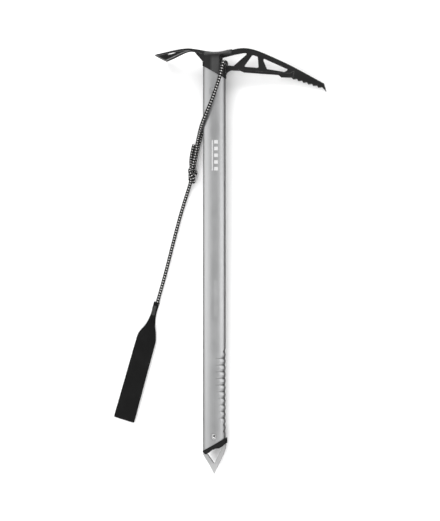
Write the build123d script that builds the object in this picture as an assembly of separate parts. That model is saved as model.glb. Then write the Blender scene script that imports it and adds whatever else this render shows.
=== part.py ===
from build123d import *
import math
import os

# The axe is drawn upright in its own frame: shaft axis on Y, spike tip at Y 0, pick towards +X, Z across.
# Then it is laid on its side on the floor, where it rests on an adze corner, the pick tip and the shaft.
ROLL = 6.28
PITCH = 0.944
SHIFT_X = 1.0
SHIFT_Y = -303.0
LIFT = 9.9

# how far a cutting solid runs, which is past anything that it cuts
PAST = 60.0

# shaft: an oval tube with both ends cut at an angle
SHAFT_A = 16.4
SHAFT_B = 10.0
SHAFT_WALL = 1.8
CUT_SLOPE = math.tan(math.radians(30))
CUT_TOP = 571.4
CUT_BOTTOM = 42.0

# grip notches pressed into the pick side of the shaft
NOTCH_FIRST = 61.3
NOTCH_PITCH = 9.43
NOTCH_DEPTH = 1.25
NOTCH_CLEAR = 0.05
NOTCH_REACH = [4.5, 4.5, 1.0, 1.0, 1.0, 1.0, 0.33, 0.33, 0.33, 0.33, 0.33, 0.33, 4.5]
NOTCH_STEPS = [(-4.6, 0.0), (-1.9, 0.42), (0.0, 1.0), (1.9, 0.42), (4.6, 0.0)]

# rivets
RIVET_FLAT_Z = 9.5
RIVET_FLAT_R = 6.0
HEAD_RIVET_X = 0.0
HEAD_RIVET_Y = 543.0
HEAD_RIVET_R = 2.5
HEAD_RIVET_HEAD_R = 3.4
HEAD_RIVET_HEIGHT = 1.2
SPIKE_RIVET_X = 2.0
SPIKE_RIVET_Y = 55.0
SPIKE_RIVET_R = 3.0
SPIKE_RIVET_HEAD_R = 3.9
SPIKE_RIVET_HEIGHT = 0.7
SPIKE_RIVET_BORE_R = 2.0
SPIKE_RIVET_MOUTH_R = 2.9
SPIKE_RIVET_MOUTH_DEEP = 0.8

# pick, with its teeth and its nose
PICK_HALF = 2.0
STEP_DEPTH = 0.4
TOOTH_COUNT = 6
TOOTH_START = (114.3, 556.9)
TOOTH_STEP = (7.05, -2.6)
TOOTH_FLAT = (5.4, 0.4)
NOSE = (161.0, 537.8)
NOSE_HALF = 1.1
NOSE_LENGTH = 36.0
NOSE_TURN = -29.0

# ferrule, which covers the shaft's end, and the tang inside it
FERRULE_A = 17.2
FERRULE_B = 10.8
FERRULE_SIDE = 17.4
TANG_HALF = 2.6
TANG_SIDE = 9.0
TANG_BOTTOM = 534.0
TANG_TOP = 585.0

# palm and adze, from the cutting edge to the pick: x, height of the side edges, half width, arch, thickness
BAND_SECTIONS = [
    (-84.0, 594.5, 30.5, 1.3, 1.0),
    (-76.0, 596.6, 26.4, 1.9, 1.6),
    (-68.0, 598.9, 22.4, 2.4, 2.2),
    (-58.0, 601.8, 17.2, 2.2, 2.5),
    (-47.0, 604.8, 11.5, 1.1, 2.6),
    (-37.0, 606.1, 7.2, 0.5, 2.7),
    (-26.0, 604.6, 7.4, 0.3, 3.6),
    (-12.0, 601.3, 9.5, 0.2, 5.0),
    (4.0, 598.9, 9.9, 0.2, 4.2),
    (16.0, 600.0, 8.6, 0.2, 3.6),
    (26.5, 602.4, 5.0, 0.2, 3.0),
]
BLADE_MIDDLE = -82.6
BLADE_RADIUS = 170.0
ADZE_HOLE_R = 7.5
ADZE_HOLE = (-63.5, 602.0)
ADZE_TILT = 14.8

# spike and the plug around it
SPIKE_HALF = 2.0
SPIKE_TANG_SIDE = 10.0
SPIKE_TANG_TOP = 74.0
POINT_HALF = 0.9
POINT_LEAN = 4.5
POINT_LENGTH = 18.0
PLUG_LEFT = -15.9
PLUG_RIGHT = 18.2
PLUG_SPIGOT = 24.0
PLUG_CLEAR = 0.2

# leash
CORD_R = 2.6
KNOT_CENTRE = (-37.2, 124.7, 6.7)
KNOT_TURN = -9.0
KNOT_R = 6.4
KNOT_HALF = 12.6
STRAP_LOW = 0.4
STRAP_THICK = 4.6
FOLD_LEFT = (-161.4, -231.0)
FOLD_RIGHT = (-129.6, -238.6)
FOLD_ROUND = 2.0
TACK_THICK = 0.6


def oval(a, b):
    return Plane.XZ * Ellipse(a, b)


def column(a, b, low, high):
    return Pos(0, low, 0) * extrude(oval(a, b), -(high - low))


def side_plate(outline, half):
    return extrude(make_face(outline), half, both=True)


def slanted_band(low, low_slope, high, high_slope):
    """Everything between two slanted planes, which meet the shaft axis at low and high."""
    corners = [
        (-PAST, low - PAST * low_slope),
        (PAST, low + PAST * low_slope),
        (PAST, high + PAST * high_slope),
        (-PAST, high - PAST * high_slope),
    ]
    return side_plate(Polyline(*corners, close=True), PAST)


def across(radius, x, y):
    return Pos(x, y, 0) * Cylinder(radius, PAST)


def notch(y, reach):
    """What one pressed notch takes off the pick side: a slab less a waisted oval."""
    sections = []
    for step, share in NOTCH_STEPS:
        depth = NOTCH_DEPTH * share
        grow = reach * depth + NOTCH_CLEAR
        shift = NOTCH_CLEAR * (share == 0) - grow - depth
        sections.append(Pos(shift, y + step, 0) * oval(SHAFT_A + grow, SHAFT_B + grow))
    waist = loft(sections, ruled=True)
    width = 2 * NOTCH_STEPS[-1][0] - 0.02
    slab = Pos(SHAFT_A, y, 0) * Box(2 * SHAFT_A - 1, width, 3 * SHAFT_B)
    return slab - waist


def shaft():
    body = column(SHAFT_A, SHAFT_B, CUT_BOTTOM - PAST, CUT_TOP + PAST)
    body &= slanted_band(CUT_BOTTOM, CUT_SLOPE, CUT_TOP, -CUT_SLOPE)
    for i, reach in enumerate(NOTCH_REACH):
        body -= notch(NOTCH_FIRST + i * NOTCH_PITCH, reach)
    body -= column(SHAFT_A - SHAFT_WALL, SHAFT_B - SHAFT_WALL, CUT_BOTTOM - PAST, CUT_TOP + PAST)
    spike_end = (SPIKE_RIVET_X, SPIKE_RIVET_Y, SPIKE_RIVET_R)
    head_end = (HEAD_RIVET_X, HEAD_RIVET_Y, HEAD_RIVET_R)
    for x, y, radius in (spike_end, head_end):
        for side in (-1, 1):
            body -= Pos(x, y, side * (RIVET_FLAT_Z + SHAFT_B / 2)) * Cylinder(RIVET_FLAT_R, SHAFT_B)
        body -= across(radius, x, y)
    return body


def pick_outline():
    spine = Spline((10, 596.9), (25, 601.6), (43, 603.7), (77.4, 592.8), (117, 572.9), (157.5, 549.7))
    edge = [(157.5, 549.7), NOSE]
    for i in reversed(range(TOOTH_COUNT)):
        tip_x = TOOTH_START[0] + i * TOOTH_STEP[0]
        tip_y = TOOTH_START[1] + i * TOOTH_STEP[1]
        edge.append((tip_x + TOOTH_FLAT[0], tip_y + TOOTH_FLAT[1]))
        edge.append((tip_x, tip_y))
    edge += [(111.7, 559.4), (97.0, 560.4), (93.2, 563.9), (43.2, 569.5), (37.5, 572.2), (26.5, 572.9)]
    root = ThreePointArc((26.5, 572.9), (20.4, 571.4), (17.0, 566.0))
    back = Polyline((17.0, 566.0), (10.0, 566.0), (0.0, 578.0), (10.0, 596.9))
    return spine + Polyline(*edge) + root + back


def window(radius, corners):
    """An opening right through the plate, with rounded corners."""
    face = fillet(make_face(Polyline(*corners, close=True)).vertices(), radius)
    return extrude(face, PAST, both=True)


def lower_step():
    """The strip that a shallow step takes off both faces of the lower bar, with a hook before the teeth."""
    ledge = Polyline((24.0, 574.6), (44.0, 572.4), (94.0, 566.6), (110.0, 565.6), (116.0, 568.4))
    below = Polyline((116.0, 568.4), (113.6, 557.0), (80.0, 550.0), (24.0, 560.0), (24.0, 574.6))
    strip = extrude(make_face(ledge + below), PAST, both=True)
    return strip - side_plate(below + ledge, PICK_HALF - STEP_DEPTH)


def pick():
    plate = side_plate(pick_outline(), PICK_HALF)
    rear = [(6.0, 590.4), (30.0, 595.2), (42.0, 596.9), (50.8, 596.8)]
    rear += [(40.0, 588.2), (28.6, 579.0), (6.0, 582.4)]
    middle = [(55.4, 593.9), (63.8, 590.6), (64.9, 574.8), (42.6, 577.4)]
    front = [(69.8, 588.9), (108.0, 570.4), (102.0, 567.6), (76.4, 572.8)]
    plate -= window(1.8, rear)
    plate -= window(1.6, middle)
    plate -= window(1.5, front)
    plate -= lower_step()
    # the nose thins towards its tip
    lean = math.degrees(math.atan((PICK_HALF - NOSE_HALF) / NOSE_LENGTH))
    for side in (1, -1):
        wedge = Pos(*NOSE, side * (NOSE_HALF + 5)) * Rot(0, 0, NOSE_TURN) * Rot(0, side * lean, 0)
        plate -= wedge * Box(3 * NOSE_LENGTH, PAST, 10)
    return plate


def ferrule():
    left = (-FERRULE_SIDE, CUT_TOP + FERRULE_SIDE * CUT_SLOPE)
    right = (FERRULE_SIDE, CUT_TOP - FERRULE_SIDE * CUT_SLOPE)
    outline = (
        Polyline(left, (-14.9, 586.1), (-30.2, 603.4), (-10.0, 598.6))
        + Line((-10.0, 598.6), (10.4, 596.6))
        + Line((10.4, 596.6), (9.2, 585.6))
        + ThreePointArc((9.2, 585.6), (10.6, 582.6), (13.6, 581.6))
        + Polyline((13.6, 581.6), (FERRULE_SIDE, 581.4), right, left)
    )
    block = side_plate(outline, PAST)
    barrel = block & column(FERRULE_A, FERRULE_B, CUT_TOP - PAST, CUT_TOP + PAST)
    neck_plan = Spline((4, 9.6), (-12, 8.2), (-22, 6.4), (-32, 5.8)) + Polyline((-32, 5.8), (-32, -5.8))
    neck_plan += Spline((-32, -5.8), (-22, -6.4), (-12, -8.2), (4, -9.6)) + Line((4, -9.6), (4, 9.6))
    neck = Pos(0, CUT_TOP, 0) * extrude(Plane.XZ * make_face(neck_plan), -PAST)
    throat = Polyline((4, 584), (-32, 584), (-32, 610), (4, 610), close=True)
    return barrel + (block & neck & side_plate(throat, PAST))


def tang():
    length = TANG_TOP - TANG_BOTTOM
    body = Pos(0, TANG_BOTTOM + length / 2, 0) * Box(2 * TANG_SIDE, length, 2 * TANG_HALF)
    return body - across(HEAD_RIVET_R, HEAD_RIVET_X, HEAD_RIVET_Y)


def band_section(x, y, half, arch, thick):
    low = ThreePointArc((y - thick, -half), (y - thick + arch, 0), (y - thick, half))
    top = ThreePointArc((y, half), (y + arch, 0), (y, -half))
    outline = low + Line((y - thick, half), (y, half)) + top + Line((y, -half), (y - thick, -half))
    return Plane(origin=(x, 0, 0), x_dir=(0, 1, 0), z_dir=(1, 0, 0)) * make_face(outline)


def palm_and_adze():
    body = loft([band_section(*section) for section in BAND_SECTIONS])
    body &= Pos(BLADE_MIDDLE + BLADE_RADIUS, 600, 0) * Rot(90, 0, 0) * Cylinder(BLADE_RADIUS, 80)
    hole = Pos(*ADZE_HOLE, 0) * Rot(0, 0, ADZE_TILT) * Rot(90, 0, 0) * Cylinder(ADZE_HOLE_R, 20)
    return body - hole


def head():
    return pick() + ferrule() + tang() + palm_and_adze()


def rivet(x, y, radius, head_radius, height, rounding):
    """A shank through the shaft, with a round-edged head on the flat at each end."""
    body = across(radius, x, y) & (Pos(x, y, 0) * Box(PAST, PAST, 2 * RIVET_FLAT_Z))
    for side in (-1, 1):
        button = Pos(x, y, side * (RIVET_FLAT_Z + height / 2)) * Cylinder(head_radius, height)
        rim = button.edges().filter_by(GeomType.CIRCLE).sort_by(Axis.Z)[-1 if side == 1 else 0]
        body += fillet(rim, rounding)
    return body


def head_rivet():
    return rivet(HEAD_RIVET_X, HEAD_RIVET_Y, HEAD_RIVET_R, HEAD_RIVET_HEAD_R, HEAD_RIVET_HEIGHT, 0.7)


def spike_rivet():
    """A hollow rivet, flared at both mouths."""
    x, y = SPIKE_RIVET_X, SPIKE_RIVET_Y
    body = rivet(x, y, SPIKE_RIVET_R, SPIKE_RIVET_HEAD_R, SPIKE_RIVET_HEIGHT, 0.5)
    body -= across(SPIKE_RIVET_BORE_R, x, y)
    centre = RIVET_FLAT_Z + SPIKE_RIVET_HEIGHT + 0.1 - SPIKE_RIVET_MOUTH_DEEP / 2
    mouth = Cone(SPIKE_RIVET_BORE_R, SPIKE_RIVET_MOUTH_R, SPIKE_RIVET_MOUTH_DEEP)
    body -= Pos(x, y, centre) * mouth
    body -= Pos(x, y, -centre) * Rot(180, 0, 0) * mouth
    return body


def spike():
    side = SPIKE_TANG_SIDE
    tang_end = Line((side, SPIKE_TANG_TOP), (-side, SPIKE_TANG_TOP))
    left = Polyline((-side, SPIKE_TANG_TOP), (-side, 36.0), (-16.0, 31.6), (-16.0, 27.0))
    left += Polyline((-16.0, 27.0), (-6.4, 12.2), (0.0, 0.0))
    right = Polyline((0.0, 0.0), (6.4, 13.8), (13.8, 28.7), (17.4, 41.2), (15.4, 46.0), (side, 45.0))
    right += Line((side, 45.0), (side, SPIKE_TANG_TOP))
    plate = side_plate(tang_end + left + right, SPIKE_HALF)
    plate -= window(1.3, [(-11.0, 29.0), (-0.1, 14.4), (10.9, 36.0), (11.2, 40.4)])
    plate -= across(SPIKE_RIVET_R, SPIKE_RIVET_X, SPIKE_RIVET_Y)
    # the point is ground thin from both faces
    for face in (1, -1):
        wedge = Pos(0, 0, face * (POINT_HALF + 5)) * Rot(face * POINT_LEAN, 0, 0)
        plate -= wedge * Box(PAST, 2 * POINT_LENGTH, 10)
    return plate


def end_plug(blade):
    left = (PLUG_LEFT, CUT_BOTTOM + PLUG_LEFT * CUT_SLOPE)
    right = (PLUG_RIGHT, CUT_BOTTOM + PLUG_RIGHT * CUT_SLOPE)
    outline = (
        Line(left, right)
        + Line(right, (18.9, 48.6))
        + ThreePointArc((18.9, 48.6), (18.6, 45.4), (16.0, 43.2))
        + ThreePointArc((16.0, 43.2), (12.4, 39.8), (9.0, 37.9))
        + ThreePointArc((9.0, 37.9), (1.0, 36.2), (-5.0, 32.4))
        + ThreePointArc((-5.0, 32.4), (-7.6, 30.3), (-9.6, 28.6))
        + ThreePointArc((-9.6, 28.6), (-13.2, 29.5), left)
    )
    low = CUT_BOTTOM - PAST
    high = CUT_BOTTOM + PAST
    inset = SHAFT_WALL + PLUG_CLEAR
    cap = side_plate(outline, PAST) & column(SHAFT_A + 2.6, SHAFT_B + 0.3, low, high)
    spigot = column(SHAFT_A - inset, SHAFT_B - inset, low, high)
    spigot &= slanted_band(CUT_BOTTOM - 1, CUT_SLOPE, CUT_BOTTOM + PLUG_SPIGOT, CUT_SLOPE)
    return cap + spigot - blade - across(SPIKE_RIVET_R, SPIKE_RIVET_X, SPIKE_RIVET_Y)


# The leash lies as it was dropped: over the shaft, then on the floor. Its points are where it rests.
LOOP_POINTS = [
    (-34.3, 139.2, 9.0),
    (-30.4, 157.0, 9.0),
    (-26.8, 175.0, 10.8),
    (-19.2, 193.0, 22.6),
    (-9.0, 210.0, 32.6),
    (3.4, 231.0, 32.6),
    (11.4, 252.0, 31.2),
    (15.4, 270.0, 29.6),
    (15.2, 283.4, 27.8),
    (14.6, 283.6, 9.6),
    (11.6, 272.0, 4.0),
    (2.8, 248.0, 3.1),
    (-9.4, 218.0, 2.9),
    (-20.6, 195.0, 2.9),
    (-25.6, 176.0, 2.9),
    (-31.0, 157.0, 3.0),
    (-34.0, 139.4, 3.1),
]
TAIL_POINTS = [
    (-39.9, 136.4, 4.4),
    (-40.4, 145.0, 3.2),
    (-39.3, 155.4, 3.0),
    (-36.7, 165.4, 3.0),
]
STRAND_POINTS = [
    (-41.6, 110.2, 3.9),
    (-48.2, 93.0, 3.1),
    (-57.6, 64.0, 3.0),
    (-68.4, 25.0, 3.0),
    (-80.0, -19.0, 3.0),
    (-92.8, -61.3, 3.0),
]


def corner_radii(points):
    """Each bend's radius: 0.45 of its shorter run over the tangent of half its turn."""
    radii = []
    for before, here, after in zip(points, points[1:], points[2:]):
        a = Vector(*here) - Vector(*before)
        b = Vector(*after) - Vector(*here)
        half = math.radians(a.get_angle(b)) / 2
        radii.append(0.45 * min(a.length, b.length) / math.tan(half))
    return radii


def cord(points, name):
    radii = corner_radii(points)
    path = FilletPolyline(*points, radius=radii)
    plane = Plane(origin=path @ 0, z_dir=path % 0)
    tube = sweep(plane * Circle(CORD_R), path=path)
    expected = math.pi * CORD_R**2 * path.length
    print(name, "length", round(path.length, 1), "volume share", round(tube.volume / expected, 4))
    print(name, "radii", [round(r, 1) for r in radii])
    return tube


def knot():
    barrel = scale(Sphere(KNOT_R), by=(1, KNOT_HALF / KNOT_R, 0.98))
    return Pos(*KNOT_CENTRE) * Rot(0, 0, KNOT_TURN) * barrel


def strap_outline():
    left = Line((-97.2, -63.4), (-101.6, -80.4))
    left += Spline((-101.6, -80.4), (-107.4, -91.4), (-120.6, -106.2), (-125.8, -117.0))
    left += Line((-125.8, -117.0), FOLD_LEFT)
    right = Line(FOLD_RIGHT, (-94.2, -121.0))
    right += Spline((-94.2, -121.0), (-93.4, -107.0), (-95.4, -93.0), (-94.2, -81.0))
    right += Line((-94.2, -81.0), (-90.0, -65.2))
    return left + Line(FOLD_LEFT, FOLD_RIGHT) + right + Line((-90.0, -65.2), (-97.2, -63.4))


def wrist_strap():
    body = Pos(0, 0, STRAP_LOW) * extrude(make_face(strap_outline()), STRAP_THICK)
    along = (FOLD_RIGHT[0] - FOLD_LEFT[0], FOLD_RIGHT[1] - FOLD_LEFT[1], 0)
    fold = body.edges().filter_by(Axis((0, 0, 0), along), tolerance=1.0).sort_by(Axis.Y)[:2]
    return fillet(fold, FOLD_ROUND)


def strap_bartack():
    outline = Polyline((-99.2, -67.6), (-91.4, -69.4), (-94.4, -81.6), (-101.8, -79.8), close=True)
    return Pos(0, 0, STRAP_LOW + STRAP_THICK) * extrude(make_face(outline), TACK_THICK)


os.makedirs("parts", exist_ok=True)

lay = Pos(SHIFT_X, SHIFT_Y, LIFT) * Rot(PITCH, 0, 0) * Rot(0, ROLL, 0)
blade = spike()
nodes = {
    "head": lay * head(),
    "shaft": lay * shaft(),
    "head_rivet": lay * head_rivet(),
    "end_plug": lay * end_plug(blade),
    "spike": lay * blade,
    "spike_rivet": lay * spike_rivet(),
    "leash_cord": cord(LOOP_POINTS, "leash_cord"),
    "leash_knot": knot(),
    "leash_tail": cord(TAIL_POINTS, "leash_tail"),
    "leash_strand": cord(STRAND_POINTS, "leash_strand"),
    "wrist_strap": wrist_strap(),
    "strap_bartack": strap_bartack(),
}
for name, body in nodes.items():
    box = body.bounding_box()
    print(name, len(body.solids()), round(body.volume), box.min, box.max)
    export_step(body, f"parts/{name}.step")
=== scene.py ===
import math

import bpy
import numpy as np
from mathutils import Euler, Matrix, Vector


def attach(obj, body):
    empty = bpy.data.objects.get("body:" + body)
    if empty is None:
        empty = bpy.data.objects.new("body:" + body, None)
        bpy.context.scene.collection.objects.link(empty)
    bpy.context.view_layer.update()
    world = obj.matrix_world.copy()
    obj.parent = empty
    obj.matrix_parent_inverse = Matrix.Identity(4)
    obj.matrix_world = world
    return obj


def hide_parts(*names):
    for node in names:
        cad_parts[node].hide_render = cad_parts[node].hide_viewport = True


MM = 0.001

# How the axe lies: its own frame has the shaft axis on Y, the pick towards +X and Z across.
ROLL = math.radians(6.28)
PITCH = math.radians(0.944)
AXE_ORIGIN = (0.001, -0.303, 0.0099)
AXE_TURN = Euler((PITCH, 0, 0)).to_matrix() @ Euler((0, ROLL, 0)).to_matrix()

# Places on the axe, all in its own frame. First the head: the forged body, and the cheeks and palm that get a
# painted highlight.
BODY_X = (-30.0 * MM, 26.0 * MM)
CHEEK_X = (-2.0 * MM, 10.0 * MM)
CHEEK_Y = (566.0 * MM, 592.0 * MM)
PALM_X = (-12.0 * MM, 25.5 * MM)
PALM_Y = (594.5 * MM, 598.0 * MM)

# The adze: the middle in x of its cutting edge's arc, and the distances from there at which the grinding
# starts and is full. Its half width is ADZE_SPREAD times -x, less ADZE_WAIST. The folds run so far inside
# the flanks, and start between the two values of x.
ADZE_ARC_X = 87.4 * MM
ADZE_GROUND = (166.9 * MM, 167.3 * MM)
ADZE_SPREAD = 0.5
ADZE_WAIST = 11.3 * MM
ADZE_FOLD = (5.4 * MM, 8.4 * MM)
ADZE_FOLD_X = (-32.0 * MM, -38.0 * MM)

# the y of the first grip notch, and from each notch to the next
NOTCH_FIRST = 61.3 * MM
NOTCH_PITCH = 9.43 * MM

# the plain bars printed on the shaft: y from and to, x from and to
LONG_BAR = (431.0 * MM, 474.0 * MM, -1.0 * MM, 0.4 * MM)
SHORT_BARS = [((431.0 + 9.5 * i) * MM, (436.0 + 9.5 * i) * MM, 2.4 * MM, 7.6 * MM) for i in range(5)]
FAINT_BAR = (225.0 * MM, 275.0 * MM, 2.0 * MM, 7.0 * MM)

# the axis of the spike's rivet, and where the spike's point is ground
SPIKE_RIVET = (2.0 * MM, 55.0 * MM, 0.0)
SPIKE_GROUND_Y = (18.2 * MM, 17.6 * MM)

# cord
CORD_R = 2.6 * MM
BRAID_PITCH = 1.9 * MM
BRAID_YARNS = 6
BRAID_PHASE = 0.35
BRAID_DEPTH = 0.34 * MM
KNOT_CORD_R = 2.5 * MM
RING_STEP = 0.36 * MM
RING_POINTS = 48
END_TAPER = 0.25

# Webbing. The layers' heights are those of their middles. Shares are of one layer's length from the neck.
WEB_THICK = 1.5 * MM
STRAP_LENGTH = 175.0 * MM
LOW_LAYER = 0.95 * MM
HIGH_LAYER = 3.95 * MM
SLEEVE_R = 3.5 * MM
SLEEVE_ENDS = (0.035, 0.10)
PLEATS_START = (0.10, 0.16)
GATHERED_ENDS = (0.09, 0.33)
RIBS = 30
PICK_LENGTH = 1.3
THREAD_R = 0.26 * MM
TACK_START = 0.03
TACK_SHARE = 0.075
TACK_PASSES = 34

# The leash's routes, in millimetres: from the knot round the bar and back, the tail, and the strand to the
# strap.
LOOP_ROUTE = [
    (-36.6, 131.6, 8.4),
    (-35.4, 139.2, 8.8),
    (-30.6, 157.0, 9.0),
    (-26.6, 175.0, 11.8),
    (-15.4, 193.0, 27.0),
    (-5.2, 210.0, 32.6),
    (4.0, 231.0, 32.6),
    (11.4, 252.0, 31.2),
    (15.8, 269.4, 29.6),
    (17.4, 282.4, 27.8),
    (16.8, 282.6, 9.6),
    (11.6, 272.0, 4.0),
    (2.8, 248.0, 3.1),
    (-9.4, 218.0, 2.9),
    (-20.6, 195.0, 2.9),
    (-27.0, 176.0, 2.9),
    (-31.8, 157.0, 3.0),
    (-35.6, 139.4, 3.1),
    (-36.8, 131.6, 3.6),
]
TAIL_ROUTE = [
    (-38.6, 129.6, 5.6),
    (-39.9, 136.4, 4.4),
    (-41.0, 145.0, 3.2),
    (-39.6, 156.0, 3.0),
    (-36.5, 168.4, 3.0),
]
STRAND_ROUTE = [
    (-39.3, 118.8, 5.2),
    (-41.6, 110.2, 3.9),
    (-48.2, 93.0, 3.1),
    (-57.6, 64.0, 3.0),
    (-68.4, 25.0, 3.0),
    (-80.0, -19.0, 3.0),
    (-92.8, -61.3, 2.8),
    (-94.2, -66.4, 2.7),
]
# The knot's own turns, from its middle: right, along towards the loop, and up from the floor.
KNOT_CENTRE = (-37.2, 124.7, 0.0)
KNOT_TURN = math.radians(-9)
KNOT_ROUTE = [
    (1.0, 12.5, 5.8),
    (-2.6, 10.0, 6.8),
    (-4.6, 6.0, 8.6),
    (-2.0, 1.0, 10.5),
    (2.2, -4.0, 9.9),
    (4.4, -9.2, 6.6),
    (2.0, -11.0, 3.2),
    (-2.6, -7.6, 2.7),
    (-4.9, -2.4, 4.4),
    (-3.2, 2.6, 4.6),
    (2.6, 5.0, 2.9),
    (5.2, 3.4, 5.6),
    (4.2, -0.6, 8.4),
    (-0.4, -4.6, 7.8),
    (-3.4, -7.6, 5.8),
    (-2.2, -8.6, 4.0),
]
# the strap's two edges, from its neck to its fold
STRAP_LEFT = [
    (-97.9, -59.5),
    (-103.4, -79.0),
    (-111.0, -92.4),
    (-123.2, -106.6),
    (-127.4, -118.0),
    (-162.0, -231.0),
]
STRAP_RIGHT = [
    (-89.8, -61.3),
    (-95.4, -79.6),
    (-96.7, -93.0),
    (-95.2, -107.0),
    (-95.9, -121.0),
    (-129.2, -238.6),
]


# ---- node trees

def tree_of(name):
    material = bpy.data.materials.new(name)
    material.use_nodes = True
    material.node_tree.nodes.clear()
    return material, material.node_tree


def add(tree, kind, inputs=None, **settings):
    """A node with its settings, and its inputs given as numbers, colours or other sockets."""
    node = tree.nodes.new("ShaderNode" + kind)
    for key, value in settings.items():
        setattr(node, key, value)
    for key, value in (inputs or {}).items():
        if isinstance(value, bpy.types.NodeSocket):
            tree.links.new(value, node.inputs[key])
        else:
            node.inputs[key].default_value = value
    return node


def maths(tree, operation, a, b=0.0, c=0.0):
    return add(tree, "Math", {0: a, 1: b, 2: c}, operation=operation).outputs[0]


def times(tree, a, b):
    return maths(tree, "MULTIPLY", a, b)


def plus(tree, a, b):
    return maths(tree, "ADD", a, b)


def minus(tree, a, b):
    return maths(tree, "SUBTRACT", a, b)


def ramp(tree, value, low, high, to_low=0.0, to_high=1.0):
    """value from low..high to to_low..to_high, held at both ends."""
    inputs = {"Value": value, "From Min": low, "From Max": high, "To Min": to_low, "To Max": to_high}
    return add(tree, "MapRange", inputs, clamp=True).outputs["Result"]


def window(tree, value, low, high, soft=0.25 * MM):
    """1 where value lies between low and high."""
    rise = ramp(tree, value, low - soft, low + soft)
    fall = ramp(tree, value, high - soft, high + soft, 1.0, 0.0)
    return times(tree, rise, fall)


def noise(tree, where, scale, detail=3.0, rough=0.55):
    inputs = {"Vector": where, "Scale": scale, "Detail": detail, "Roughness": rough}
    return add(tree, "TexNoise", inputs).outputs["Fac"]


def stretched(tree, where, x, y, z):
    return add(tree, "Mapping", {"Vector": where, "Scale": (x, y, z)}).outputs["Vector"]


def blended(tree, share, a, b):
    """Colour a where share is 0 and b where it is 1."""
    node = add(tree, "Mix", data_type="RGBA")
    for socket, value in ((node.inputs[0], share), (node.inputs[6], a), (node.inputs[7], b)):
        if isinstance(value, bpy.types.NodeSocket):
            tree.links.new(value, socket)
        else:
            socket.default_value = value
    return node.outputs[2]


def grey(v, warm=0.0):
    return (v * (1 + warm), v, v * (1 - warm), 1.0)


def bumped(tree, height, distance, strength=1.0, normal=None):
    inputs = {"Height": height, "Distance": distance, "Strength": strength}
    if normal is not None:
        inputs["Normal"] = normal
    return add(tree, "Bump", inputs).outputs["Normal"]


def shaded(tree, **sockets):
    """The Principled shader and the output."""
    names = {name.replace("_", " "): value for name, value in sockets.items()}
    shader = add(tree, "BsdfPrincipled", names)
    out = add(tree, "OutputMaterial")
    tree.links.new(shader.outputs[0], out.inputs["Surface"])


def axe_place(tree):
    """A point's place in the axe's own frame, in metres."""
    place = add(tree, "TexCoord").outputs["Object"]
    turn = AXE_TURN.to_euler("XYZ")
    inputs = {"Vector": place, "Location": AXE_ORIGIN, "Rotation": tuple(turn)}
    return add(tree, "Mapping", inputs, vector_type="TEXTURE").outputs["Vector"]


def xyz(tree, place):
    node = add(tree, "SeparateXYZ", {"Vector": place})
    return node.outputs[0], node.outputs[1], node.outputs[2]


def edge_share(tree, radius):
    """0 on a face and up to 1 on an outer or inner edge, with the rounded normal."""
    soft = add(tree, "Bevel", {"Radius": radius}, samples=6).outputs["Normal"]
    flat = add(tree, "NewGeometry").outputs["Normal"]
    dot = add(tree, "VectorMath", {0: soft, 1: flat}, operation="DOT_PRODUCT").outputs["Value"]
    return ramp(tree, dot, 0.995, 0.86), soft


def coated_steel():
    material, tree = tree_of("coated_steel")
    place = axe_place(tree)
    x, y, z = xyz(tree, place)
    clouds = noise(tree, place, 55.0, 4.0)
    grain = noise(tree, place, 1500.0, 3.0)
    # the forged body has rounder edges than the pick
    body = window(tree, x, *BODY_X, 3.0 * MM)
    edges, soft = edge_share(tree, ramp(tree, body, 0.0, 1.0, 0.8 * MM, 2.4 * MM))
    # the ground bevel along the adze's curved edge
    along = maths(tree, "POWER", minus(tree, x, ADZE_ARC_X), 2.0)
    reach = maths(tree, "SQRT", plus(tree, along, maths(tree, "POWER", z, 2.0)))
    ground = ramp(tree, reach, *ADZE_GROUND)
    # the coat wears through on edges in patches, and more towards the tips of the pick and the adze
    patches = ramp(tree, noise(tree, place, 260.0, 5.0, 0.7), 0.5, 0.72, 0.0, 0.55)
    pick_tip = ramp(tree, x, 90.0 * MM, 161.0 * MM, 0.0, 0.8)
    adze_tip = ramp(tree, x, -60.0 * MM, -82.0 * MM, 0.0, 0.4)
    worn = times(tree, edges, maths(tree, "MAXIMUM", patches, plus(tree, pick_tip, adze_tip)))
    bare = maths(tree, "MAXIMUM", worn, times(tree, ground, 0.75))
    coat = blended(tree, clouds, grey(0.004), grey(0.009))
    # painted highlight on the ferrule's cheeks and the palm, lighter where they catch the light
    cheek = times(tree, window(tree, x, *CHEEK_X, 2.0 * MM), window(tree, y, *CHEEK_Y, 3.0 * MM))
    palm = times(tree, window(tree, x, *PALM_X, 1.5 * MM), ramp(tree, y, *PALM_Y))
    painted_highlight = maths(tree, "MAXIMUM", times(tree, cheek, 0.55), palm)
    coat = blended(tree, times(tree, painted_highlight, ramp(tree, clouds, 0.2, 0.7, 0.7, 1.0)), coat, grey(0.075))
    # the adze's flanks are folded, and a pale painted highlight runs along the folds in patches
    off_middle = maths(tree, "ABSOLUTE", z)
    from_side = minus(tree, times(tree, x, -ADZE_SPREAD), plus(tree, off_middle, ADZE_WAIST))
    fold = times(tree, window(tree, from_side, *ADZE_FOLD, 0.8 * MM), ramp(tree, x, *ADZE_FOLD_X))
    fold_highlight_patches = ramp(tree, noise(tree, place, 420.0, 5.0, 0.75), 0.36, 0.66, 0.3, 1.0)
    coat = blended(tree, times(tree, fold, fold_highlight_patches), coat, grey(0.33))
    colour = blended(tree, bare, coat, grey(0.42))
    rough = ramp(tree, clouds, 0.3, 0.7, 0.36, 0.50)
    lines = noise(tree, stretched(tree, place, 900.0, 900.0, 60.0), 1.0, 2.0)
    height = plus(tree, times(tree, grain, 0.7), times(tree, lines, 0.3))
    normal = bumped(tree, height, 0.05 * MM, 0.55, soft)
    shaded(tree, Base_Color=colour, Metallic=bare, Roughness=rough, Normal=normal, Specular_IOR_Level=0.26)
    return material


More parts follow.
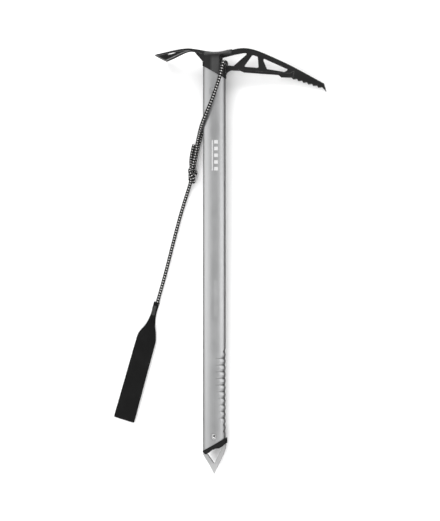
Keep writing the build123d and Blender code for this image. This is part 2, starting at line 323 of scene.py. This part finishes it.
def bar(tree, x, y, limits):
    """1 inside a printed bar."""
    low, high, left, right = limits
    return times(tree, window(tree, y, low, high), window(tree, x, left, right))


def anodised_alloy():
    material, tree = tree_of("anodised_alloy")
    place = axe_place(tree)
    x, y, z = xyz(tree, place)
    drawn = noise(tree, stretched(tree, place, 900.0, 7.0, 900.0), 1.0, 3.0)
    blasted = noise(tree, place, 2600.0, 2.0)
    clouds = noise(tree, place, 30.0, 3.0)
    scuffs = noise(tree, stretched(tree, place, 60.0, 420.0, 60.0), 1.0, 6.0, 0.75)
    # plain pale bars are printed on the upper side
    up = ramp(tree, z, 0.0, 1.0 * MM)
    bars = times(tree, bar(tree, x, y, FAINT_BAR), 0.12)
    for limits in [LONG_BAR, *SHORT_BARS]:
        bars = maths(tree, "MAXIMUM", bars, bar(tree, x, y, limits))
    printed = times(tree, times(tree, bars, up), 0.75)
    metal = blended(tree, clouds, grey(0.44, -0.008), grey(0.52, -0.008))
    metal = blended(tree, ramp(tree, drawn, 0.35, 0.75, 0.0, 0.25), metal, grey(0.36))
    # painted shade darkens the creases of the grip notches
    step = maths(tree, "DIVIDE", minus(tree, y, NOTCH_FIRST), NOTCH_PITCH)
    off_crease = maths(tree, "PINGPONG", step, 0.5)
    starts = ramp(tree, step, 4.5, 6.5, 8.0 * MM, 3.5 * MM)
    reached = ramp(tree, minus(tree, x, starts), 0.0, 6.0 * MM)
    crease_shade = times(tree, ramp(tree, off_crease, 0.03, 0.13, 1.0, 0.0), reached)
    crease_shade = times(tree, crease_shade, window(tree, step, 1.5, 11.5, 0.1))
    metal = blended(tree, times(tree, crease_shade, 0.6), metal, grey(0.10))
    colour = blended(tree, printed, metal, grey(0.62))
    rough = ramp(tree, plus(tree, clouds, times(tree, scuffs, 0.6)), 0.5, 1.1, 0.30, 0.44)
    height = plus(tree, times(tree, blasted, 0.6), times(tree, drawn, 0.4))
    normal = bumped(tree, height, 0.03 * MM, 0.45)
    metallic = ramp(tree, printed, 0.0, 0.75, 0.92, 0.1)
    shaded(tree, Base_Color=colour, Metallic=metallic, Roughness=rough, Normal=normal)
    return material


def bright_steel():
    material, tree = tree_of("bright_steel")
    place = axe_place(tree)
    turned = noise(tree, stretched(tree, place, 300.0, 300.0, 2600.0), 1.0, 4.0)
    pits = noise(tree, place, 900.0, 4.0)
    _, soft = edge_share(tree, 0.3 * MM)
    colour = blended(tree, ramp(tree, pits, 0.4, 0.7), grey(0.40), grey(0.33))
    # painted light: the spike rivet's bore is painted pale and not metallic, in place of the shade in its
    # depth
    flattened = stretched(tree, place, 1.0, 1.0, 0.0)
    from_axis = add(tree, "VectorMath", {0: flattened, 1: SPIKE_RIVET}, operation="DISTANCE").outputs["Value"]
    painted_bore_light = ramp(tree, from_axis, 2.05 * MM, 2.45 * MM, 1.0, 0.0)
    colour = blended(tree, painted_bore_light, colour, grey(0.9))
    rough = ramp(tree, turned, 0.3, 0.7, 0.26, 0.40)
    normal = bumped(tree, plus(tree, turned, pits), 0.03 * MM, 0.4, soft)
    metallic = ramp(tree, painted_bore_light, 0.0, 1.0, 0.75, 0.0)
    shaded(tree, Base_Color=colour, Metallic=metallic, Roughness=rough, Normal=normal)
    return material


def satin_steel():
    material, tree = tree_of("satin_steel")
    place = axe_place(tree)
    _, y, _ = xyz(tree, place)
    brushed = noise(tree, stretched(tree, place, 2400.0, 90.0, 2400.0), 1.0, 3.0)
    clouds = noise(tree, place, 120.0, 3.0)
    edges, soft = edge_share(tree, 0.5 * MM)
    ground = ramp(tree, y, *SPIKE_GROUND_Y)
    cross = noise(tree, stretched(tree, place, 120.0, 2600.0, 500.0), 1.0, 3.0)
    colour = blended(tree, clouds, grey(0.50), grey(0.58))
    colour = blended(tree, times(tree, edges, 0.5), colour, grey(0.8))
    rough = ramp(tree, brushed, 0.3, 0.7, 0.30, 0.42)
    height = blended(tree, ground, brushed, cross)
    normal = bumped(tree, height, 0.035 * MM, 0.5, soft)
    shaded(tree, Base_Color=colour, Metallic=0.75, Roughness=rough, Normal=normal)
    return material


def moulded_plastic():
    material, tree = tree_of("moulded_plastic")
    place = axe_place(tree)
    _, _, z = xyz(tree, place)
    spark = noise(tree, place, 1900.0, 3.0)
    clouds = noise(tree, place, 80.0, 3.0)
    edges, soft = edge_share(tree, 0.6 * MM)
    # the mould's parting line runs round the middle
    parting = window(tree, z, -0.12 * MM, 0.12 * MM, 0.06 * MM)
    colour = blended(tree, clouds, grey(0.004), grey(0.008))
    colour = blended(tree, times(tree, edges, 0.4), colour, grey(0.02))
    rough = ramp(tree, clouds, 0.3, 0.7, 0.46, 0.58)
    height = plus(tree, times(tree, spark, 0.5), parting)
    normal = bumped(tree, height, 0.06 * MM, 0.6, soft)
    shaded(tree, Base_Color=colour, Roughness=rough, Normal=normal, Specular_IOR_Level=0.18)
    return material


def braided_cord():
    material, tree = tree_of("braided_cord")
    u, v, _ = xyz(tree, add(tree, "UVMap", uv_map="braid").outputs[0])
    a, b = plus(tree, u, v), minus(tree, u, v)
    even_a = maths(tree, "LESS_THAN", maths(tree, "FLOORED_MODULO", a, 2.0), 1.0)
    even_b = maths(tree, "LESS_THAN", maths(tree, "FLOORED_MODULO", b, 2.0), 1.0)
    over = maths(tree, "COMPARE", even_a, even_b, 0.5)
    # pale flecks where every fourth row meets every fourth column, and duller ones between them
    floor_a, floor_b = maths(tree, "FLOOR", a), maths(tree, "FLOOR", b)
    row = maths(tree, "FLOORED_MODULO", minus(tree, floor_a, floor_b), 4.0)
    column = maths(tree, "FLOORED_MODULO", plus(tree, floor_a, floor_b), 4.0)
    light = times(tree, maths(tree, "LESS_THAN", row, 1.0), ramp(tree, column, 1.0, 2.0, 1.0, 0.25))
    across_a, across_b = maths(tree, "FRACT", a), maths(tree, "FRACT", b)
    # the filaments run along whichever yarn is on top
    across = blended(tree, over, across_b, across_a)
    wander = noise(tree, add(tree, "TexCoord").outputs["Object"], 1400.0, 3.0)
    phase = plus(tree, times(tree, across, 6.0), times(tree, wander, 1.2))
    filament = maths(tree, "PINGPONG", phase, 0.5)
    # painted shade: the gaps between the yarns are darkened to near black
    gap_a = maths(tree, "PINGPONG", a, 0.5)
    gap_b = maths(tree, "PINGPONG", b, 0.5)
    gap_shade = ramp(tree, maths(tree, "MINIMUM", gap_a, gap_b), 0.02, 0.16)
    tone = ramp(tree, filament, 0.0, 0.5, 0.78, 1.0)
    dark = blended(tree, wander, grey(0.004), grey(0.012))
    pale = blended(tree, wander, grey(0.84, 0.012), grey(0.96, 0.008))
    colour = blended(tree, light, dark, pale)
    colour = blended(tree, times(tree, gap_shade, tone), grey(0.003), colour)
    height = plus(tree, filament, times(tree, wander, 0.4))
    normal = bumped(tree, height, 0.10 * MM, 0.6)
    shaded(tree, Base_Color=colour, Roughness=0.7, Normal=normal, Specular_IOR_Level=0.15)
    return material


def woven_webbing():
    material, tree = tree_of("woven_webbing")
    u, v, _ = xyz(tree, add(tree, "UVMap", uv_map="weave").outputs[0])
    column = maths(tree, "FLOOR", u)
    shifted = plus(tree, v, times(tree, maths(tree, "FLOORED_MODULO", column, 2.0), 0.5))
    rib = maths(tree, "PINGPONG", u, 0.5)
    pick = maths(tree, "PINGPONG", shifted, 0.5)
    place = add(tree, "TexCoord").outputs["Object"]
    fuzz = noise(tree, place, 1700.0, 4.0, 0.7)
    clouds = noise(tree, place, 45.0, 3.0)
    weave = times(tree, maths(tree, "SQRT", rib), maths(tree, "SQRT", pick))
    colour = blended(tree, ramp(tree, weave, 0.05, 0.4), grey(0.002), grey(0.006))
    colour = blended(tree, ramp(tree, fuzz, 0.5, 0.75, 0.0, 0.35), colour, grey(0.022))
    colour = blended(tree, ramp(tree, clouds, 0.45, 0.7, 0.0, 0.2), colour, grey(0.014))
    height = plus(tree, weave, times(tree, fuzz, 0.25))
    normal = bumped(tree, height, 0.45 * MM, 0.7)
    shaded(tree, Base_Color=colour, Roughness=0.85, Normal=normal, Specular_IOR_Level=0.12)
    return material


def twisted_thread():
    material, tree = tree_of("twisted_thread")
    u, v, _ = xyz(tree, add(tree, "UVMap", uv_map="braid").outputs[0])
    # the plies lie aslant round the thread
    ply = maths(tree, "PINGPONG", plus(tree, times(tree, u, 0.375), times(tree, v, 2.2)), 0.5)
    fuzz = noise(tree, add(tree, "TexCoord").outputs["Object"], 3000.0, 3.0)
    colour = blended(tree, ply, grey(0.005), grey(0.018))
    normal = bumped(tree, plus(tree, ply, times(tree, fuzz, 0.3)), 0.08 * MM, 0.7)
    shaded(tree, Base_Color=colour, Roughness=0.5, Normal=normal, Sheen_Weight=0.1)
    return material


def pale_floor():
    material, tree = tree_of("pale_floor")
    place = add(tree, "TexCoord").outputs["Object"]
    colour = blended(tree, noise(tree, place, 3.0), grey(0.95), grey(0.98))
    shaded(tree, Base_Color=colour, Roughness=0.7)
    return material


# ---- shapes

def spline_points(route):
    """The points, in metres, of the smooth line that the route's points, in millimetres, pull into shape."""
    curve = bpy.data.curves.new("route", "CURVE")
    curve.dimensions = "3D"
    curve.resolution_u = 24
    spline = curve.splines.new("NURBS")
    spline.points.add(len(route) - 1)
    for point, place in zip(spline.points, route):
        point.co = (*[c * MM for c in place], 1.0)
    spline.order_u = 3
    spline.use_endpoint_u = True
    holder = bpy.data.objects.new("route", curve)
    mesh = bpy.data.meshes.new_from_object(holder)
    line = np.array([v.co for v in mesh.vertices], float)
    bpy.data.objects.remove(holder)
    bpy.data.meshes.remove(mesh)
    bpy.data.curves.remove(curve)
    return line


def along_of(line):
    steps = np.linalg.norm(np.diff(line, axis=0), axis=1)
    return np.concatenate([[0.0], np.cumsum(steps)])


def evenly(line, step):
    along = along_of(line)
    at = np.linspace(0.0, along[-1], max(4, int(round(along[-1] / step)) + 1))
    return np.stack([np.interp(at, along, line[:, k]) for k in range(3)], axis=1)


def frames(line):
    """Two directions square to the line at each of its points, which turn as little as possible."""
    tangent = np.gradient(line, axis=0)
    tangent /= np.linalg.norm(tangent, axis=1)[:, None]
    side = np.zeros_like(line)
    first = np.cross(tangent[0], (0.0, 0.0, 1.0))
    side[0] = first / np.linalg.norm(first)
    for i in range(1, len(line)):
        moved = side[i - 1] - tangent[i] * (side[i - 1] @ tangent[i])
        side[i] = moved / np.linalg.norm(moved)
    return side, np.cross(tangent, side)


def mesh_piece(name, points, faces, uvs, layer, material):
    """An object from points and faces, with one pair of texture coordinates for each face corner."""
    mesh = bpy.data.meshes.new(name)
    mesh.from_pydata([tuple(p) for p in points], [], faces)
    mesh.uv_layers.new(name=layer).data.foreach_set("uv", np.array(uvs, np.float32).ravel())
    mesh.polygons.foreach_set("use_smooth", [True] * len(mesh.polygons))
    mesh.materials.append(material)
    mesh.update()
    piece = bpy.data.objects.new(name, mesh)
    bpy.context.scene.collection.objects.link(piece)
    return piece


def braid_height(turn, length):
    """How high the braid's surface stands, from 0 in a gap to 1 on top of a yarn."""
    a, b = turn + length, turn - length
    fa, fb = a - np.floor(a), b - np.floor(b)
    over = (np.floor(a) + np.floor(b)) % 2 < 1
    across = np.where(over, fa, fb)
    lengthwise = np.where(over, fb, fa)
    return np.sin(np.pi * across) ** 0.7 * (0.55 + 0.45 * np.sin(np.pi * lengthwise))


def tube(name, line, radius, material, relief=0.0, pitch=BRAID_PITCH, around=RING_POINTS, phase=0.0):
    """A closed tube along the line, with softened ends and a braid's relief that starts phase yarns round."""
    side, up = frames(line)
    along = along_of(line)
    angle = np.arange(around) / around * 2 * np.pi
    turn = np.arange(around + 1) / around * BRAID_YARNS + phase
    heights = braid_height(turn[None, :-1], along[:, None] / pitch)
    from_end = np.minimum(along, along[-1] - along) / (0.5 * radius)
    taper = 1 - END_TAPER * (1 - np.sqrt(1 - (1 - np.clip(from_end, 0, 1)) ** 2))
    reach = (radius - relief * (1 - heights)) * taper[:, None]
    rings = (
        line[:, None, :]
        + reach[..., None] * np.cos(angle)[None, :, None] * side[:, None, :]
        + reach[..., None] * np.sin(angle)[None, :, None] * up[:, None, :]
    )
    count = len(line)
    points = np.concatenate([rings.reshape(-1, 3), line[:1], line[-1:]])
    faces, uvs = [], []
    for i in range(count - 1):
        for j in range(around):
            k = (j + 1) % around
            faces.append((i * around + j, i * around + k, (i + 1) * around + k, (i + 1) * around + j))
            u0, u1 = turn[j], turn[j + 1]
            v0, v1 = along[i] / pitch, along[i + 1] / pitch
            uvs += [(u0, v0), (u1, v0), (u1, v1), (u0, v1)]
    for j in range(around):
        k = (j + 1) % around
        last = (count - 1) * around
        faces.append((count * around, k, j))
        faces.append((count * around + 1, last + j, last + k))
        uvs += [(1.5, 0.5)] * 6
    return mesh_piece(name, points, faces, uvs, "braid", material)


def cord_piece(name, route, material, phase):
    line = evenly(spline_points(route), RING_STEP)
    return tube(name, line, CORD_R, material, BRAID_DEPTH, phase=phase), line


def knot_piece(material):
    turned = Matrix.Rotation(KNOT_TURN, 3, "Z")
    route = [tuple(Vector(KNOT_CENTRE) + turned @ Vector(p)) for p in KNOT_ROUTE]
    line = evenly(spline_points(route), RING_STEP)
    return tube("leash_knot_turns", line, KNOT_CORD_R, material, BRAID_DEPTH)


def smooth_edge(points, at):
    """A smooth line through the points, read at shares of its length from 0 to 1."""
    flat = np.array(points) * MM
    along = along_of(flat)
    slope = np.gradient(flat, along, axis=0)
    # the last run is straight
    slope[-2] = slope[-1]
    place = np.asarray(at) * along[-1]
    i = np.clip(np.searchsorted(along, place, side="right") - 1, 0, len(flat) - 2)
    span = along[i + 1] - along[i]
    t = ((place - along[i]) / span)[:, None]
    span = span[:, None]
    return (
        (2 * t**3 - 3 * t**2 + 1) * flat[i]
        + (t**3 - 2 * t**2 + t) * span * slope[i]
        + (3 * t**2 - 2 * t**3) * flat[i + 1]
        + (t**3 - t**2) * span * slope[i + 1]
    )


def strap_path():
    """The band's way from the neck along the top, round the fold and back below.

    At each step: the share of the layer's length, the height, and the angle that the band has turned through.
    """
    radius = (HIGH_LAYER - LOW_LAYER) / 2
    middle = (HIGH_LAYER + LOW_LAYER) / 2
    outer = radius + WEB_THICK / 2
    flat = np.linspace(0.0, 1 - outer / STRAP_LENGTH, 150)
    turn = np.linspace(0.0, np.pi, 14)[1:-1]
    share = np.concatenate([flat, flat[-1] + radius * np.sin(turn) / STRAP_LENGTH, flat[::-1]])
    level = np.ones(len(flat))
    height = np.concatenate([level * HIGH_LAYER, middle + radius * np.cos(turn), level * LOW_LAYER])
    lean = np.concatenate([level * 0.0, turn, level * np.pi])
    return share, height, lean


def eased(share, start, end):
    """1 up to start, 0 from end, and smooth between."""
    t = np.clip((share - start) / (end - start), 0, 1)
    return 1 - t * t * (3 - 2 * t)


def neck_height(share, across, width):
    """How high the middle of the top layer lies: round the cord where it goes in, then pleated, then flat."""
    draw = eased(share, *GATHERED_ENDS)
    pleat = 0.55 * np.cos(across * np.pi * 3.0) * (1 - eased(share, *PLEATS_START))
    arch = 0.75 * (1 - across**2) - 0.5
    edge_drop = 0.55 * np.abs(across) ** 3
    pleated = HIGH_LAYER + (pleat + arch - edge_drop) * draw * MM
    off = np.minimum(np.abs(across) * width / 2, SLEEVE_R)
    sleeve = CORD_R + np.sqrt(SLEEVE_R**2 - off**2)
    return pleated + (sleeve - pleated) * eased(share, *SLEEVE_ENDS)


def wrist_strap_piece(material):
    share, height, lean = strap_path()
    left, right = smooth_edge(STRAP_LEFT, share), smooth_edge(STRAP_RIGHT, share)
    across = np.linspace(-1, 1, 45)
    # the webbing gets thin at its edges
    half = WEB_THICK / 2 * np.sqrt(1 - np.abs(across) ** 14 * 0.94)
    outward = np.subtract(STRAP_LEFT[-1], STRAP_LEFT[-2])
    outward /= np.linalg.norm(outward)
    # the two layers lie a little to either side of each other, and the top one isn't quite flat
    slide = 0.7 * MM * (1 - eased(share, *GATHERED_ENDS)) * np.cos(lean)
    ripple = 0.22 * MM * np.sin(share * 11.0 + 0.6) * (1 - abs(2 * share - 1) ** 6)
    sections = []
    for i in range(len(share)):
        edge = right[i] - left[i]
        width = np.linalg.norm(edge)
        place = left[i] + (across[:, None] + 1) / 2 * edge + slide[i] * edge / width
        if lean[i] == 0:
            z = neck_height(share[i], across, width) + ripple[i]
        else:
            z = np.full(across.shape, height[i])
        out = np.array([*(outward * math.sin(lean[i])), math.cos(lean[i])])
        base = np.column_stack([place, z])
        upper = base + half[:, None] * out
        lower = base - half[:, None] * out
        sections.append(np.concatenate([upper, lower[::-1]]))
    along = np.concatenate([[0.0], np.cumsum(np.hypot(np.diff(share) * STRAP_LENGTH, np.diff(height)))]) / MM
    return band_mesh("wrist_strap_webbing", sections, along, material)


def band_mesh(name, sections, along, material):
    """Joins closed sections into a band with capped ends. Its texture coordinates count ribs and picks."""
    around = len(sections[0])
    half = around // 2
    rib = np.concatenate([np.linspace(0, RIBS, half), np.linspace(RIBS, 0, half)])
    points = np.concatenate(sections)
    faces, uvs = [], []
    for i in range(len(sections) - 1):
        for j in range(around):
            k = (j + 1) % around
            faces.append((i * around + j, (i + 1) * around + j, (i + 1) * around + k, i * around + k))
            v0, v1 = along[i] / PICK_LENGTH, along[i + 1] / PICK_LENGTH
            uvs += [(rib[j], v0), (rib[j], v1), (rib[k], v1), (rib[k], v0)]
    faces.append(tuple(range(around)))
    faces.append(tuple(reversed(range((len(sections) - 1) * around, len(sections) * around))))
    uvs += [(0.5, 0.5)] * (2 * around)
    return mesh_piece(name, points, faces, uvs, "weave", material)


def bartack_piece(material):
    """One thread that zigzags across the neck, close enough to cover it."""
    crossing = np.linspace(0.1, 0.9, 7)
    route = []
    for i in range(TACK_PASSES + 1):
        share = TACK_START + TACK_SHARE * i / TACK_PASSES
        left, right = smooth_edge(STRAP_LEFT, [share])[0], smooth_edge(STRAP_RIGHT, [share])[0]
        width = np.linalg.norm(right - left)
        for t in crossing if i % 2 == 0 else crossing[::-1]:
            place = left + t * (right - left)
            high = neck_height(share, 2 * t - 1, width) + WEB_THICK / 2 + 0.9 * THREAD_R
            route.append((place[0] / MM, place[1] / MM, high / MM))
    line = evenly(spline_points(route), 0.16 * MM)
    return tube("strap_bartack_thread", line, THREAD_R, material, pitch=1.0 * MM, around=10)


# ---- the scene

def set_camera():
    """The photograph's view: from above, a little from the pick's side."""
    back = Vector((0.3629, -0.0154, 0.9317)).normalized()
    right = Vector((0.9318, 0.0060, -0.3629)).normalized()
    up = back.cross(right)
    data = bpy.data.cameras.new("camera")
    data.lens = 80.1
    data.sensor_width = 36.0
    data.shift_x = 0.0109
    data.shift_y = -0.0125
    camera = bpy.data.objects.new("camera", data)
    bpy.context.scene.collection.objects.link(camera)
    turn = Matrix((right, up, back)).transposed()
    camera.matrix_world = Matrix.Translation((0.5998, -0.0156, 1.5523)) @ turn.to_4x4()
    bpy.context.scene.camera = camera


def area_light(name, place, aim, size, energy):
    data = bpy.data.lights.new(name, "AREA")
    data.shape = "RECTANGLE"
    data.size, data.size_y = size
    data.energy = energy
    light = bpy.data.objects.new(name, data)
    bpy.context.scene.collection.objects.link(light)
    way = Vector(aim) - Vector(place)
    light.matrix_world = Matrix.Translation(place) @ way.to_track_quat("-Z", "Y").to_matrix().to_4x4()


def set_light():
    """A pale tent, brightest a little above the horizon and dark below it, and a softbox on each side."""
    area_light("left_softbox", (-1.5, 0.0, 1.0), (0.0, 0.0, 0.0), (0.9, 2.4), 5.0)
    area_light("right_softbox", (1.9, 0.0, 0.5), (0.0, 0.0, 0.0), (0.8, 2.4), 7.0)
    area_light("head_softbox", (0.0, 2.3, 1.2), (0.0, 0.0, 0.0), (2.8, 1.2), 62.0)
    area_light("spike_softbox", (0.0, -2.3, 1.2), (0.0, 0.0, 0.0), (2.8, 1.2), 62.0)
    world = bpy.data.worlds.new("studio")
    world.use_nodes = True
    tree = world.node_tree
    tree.nodes.clear()
    way = add(tree, "TexCoord").outputs["Generated"]
    high = add(tree, "SeparateXYZ", {"Vector": way}).outputs[2]
    above = ramp(tree, high, 0.45, 0.98, 0.95, 0.55)
    below = ramp(tree, high, -0.24, 0.36, 0.10, 1.0)
    sky = add(tree, "Background", {"Color": (1.0, 1.0, 1.0, 1.0), "Strength": times(tree, above, below)})
    out = add(tree, "OutputWorld")
    tree.links.new(sky.outputs[0], out.inputs["Surface"])
    bpy.context.scene.world = world
    bpy.context.scene.view_settings.view_transform = "Standard"


def set_floor():
    mesh = bpy.data.meshes.new("floor")
    reach = 6.0
    corners = [(-reach, -reach, 0), (reach, -reach, 0), (reach, reach, 0), (-reach, reach, 0)]
    mesh.from_pydata(corners, [], [(0, 1, 2, 3)])
    mesh.materials.append(pale_floor())
    floor = bpy.data.objects.new("floor", mesh)
    bpy.context.scene.collection.objects.link(floor)
    floor.visible_glossy = False


def dress(node, material):
    """A CAD node keeps its mesh and gets the material."""
    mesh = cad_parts[node].data
    mesh.materials.clear()
    mesh.materials.append(material)


def stand_for(piece, node, body):
    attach(piece, body)
    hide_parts(node)


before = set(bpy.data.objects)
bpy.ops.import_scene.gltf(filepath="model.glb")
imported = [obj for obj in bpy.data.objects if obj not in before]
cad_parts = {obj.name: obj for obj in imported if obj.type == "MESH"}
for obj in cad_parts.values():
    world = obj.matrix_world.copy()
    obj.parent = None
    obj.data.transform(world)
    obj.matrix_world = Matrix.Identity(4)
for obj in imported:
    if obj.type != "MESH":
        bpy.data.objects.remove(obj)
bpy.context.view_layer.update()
set_camera()
set_light()
set_floor()

steel = bright_steel()
dress("head", coated_steel())
dress("shaft", anodised_alloy())
dress("head_rivet", steel)
dress("spike_rivet", steel)
dress("end_plug", moulded_plastic())
dress("spike", satin_steel())

braid = braided_cord()
loop, loop_line = cord_piece("leash_loop_braid", LOOP_ROUTE, braid, -BRAID_PHASE)
tail, tail_line = cord_piece("leash_tail_braid", TAIL_ROUTE, braid, -BRAID_PHASE)
strand, strand_line = cord_piece("leash_strand_braid", STRAND_ROUTE, braid, BRAID_PHASE)
knot = knot_piece(braid)
strap = wrist_strap_piece(woven_webbing())
tack = bartack_piece(twisted_thread())
stand_for(loop, "leash_cord", "axe")
stand_for(tail, "leash_tail", "axe")
stand_for(knot, "leash_knot", "axe")
stand_for(strand, "leash_strand", "leash_end")
stand_for(strap, "wrist_strap", "leash_end")
stand_for(tack, "strap_bartack", "leash_end")
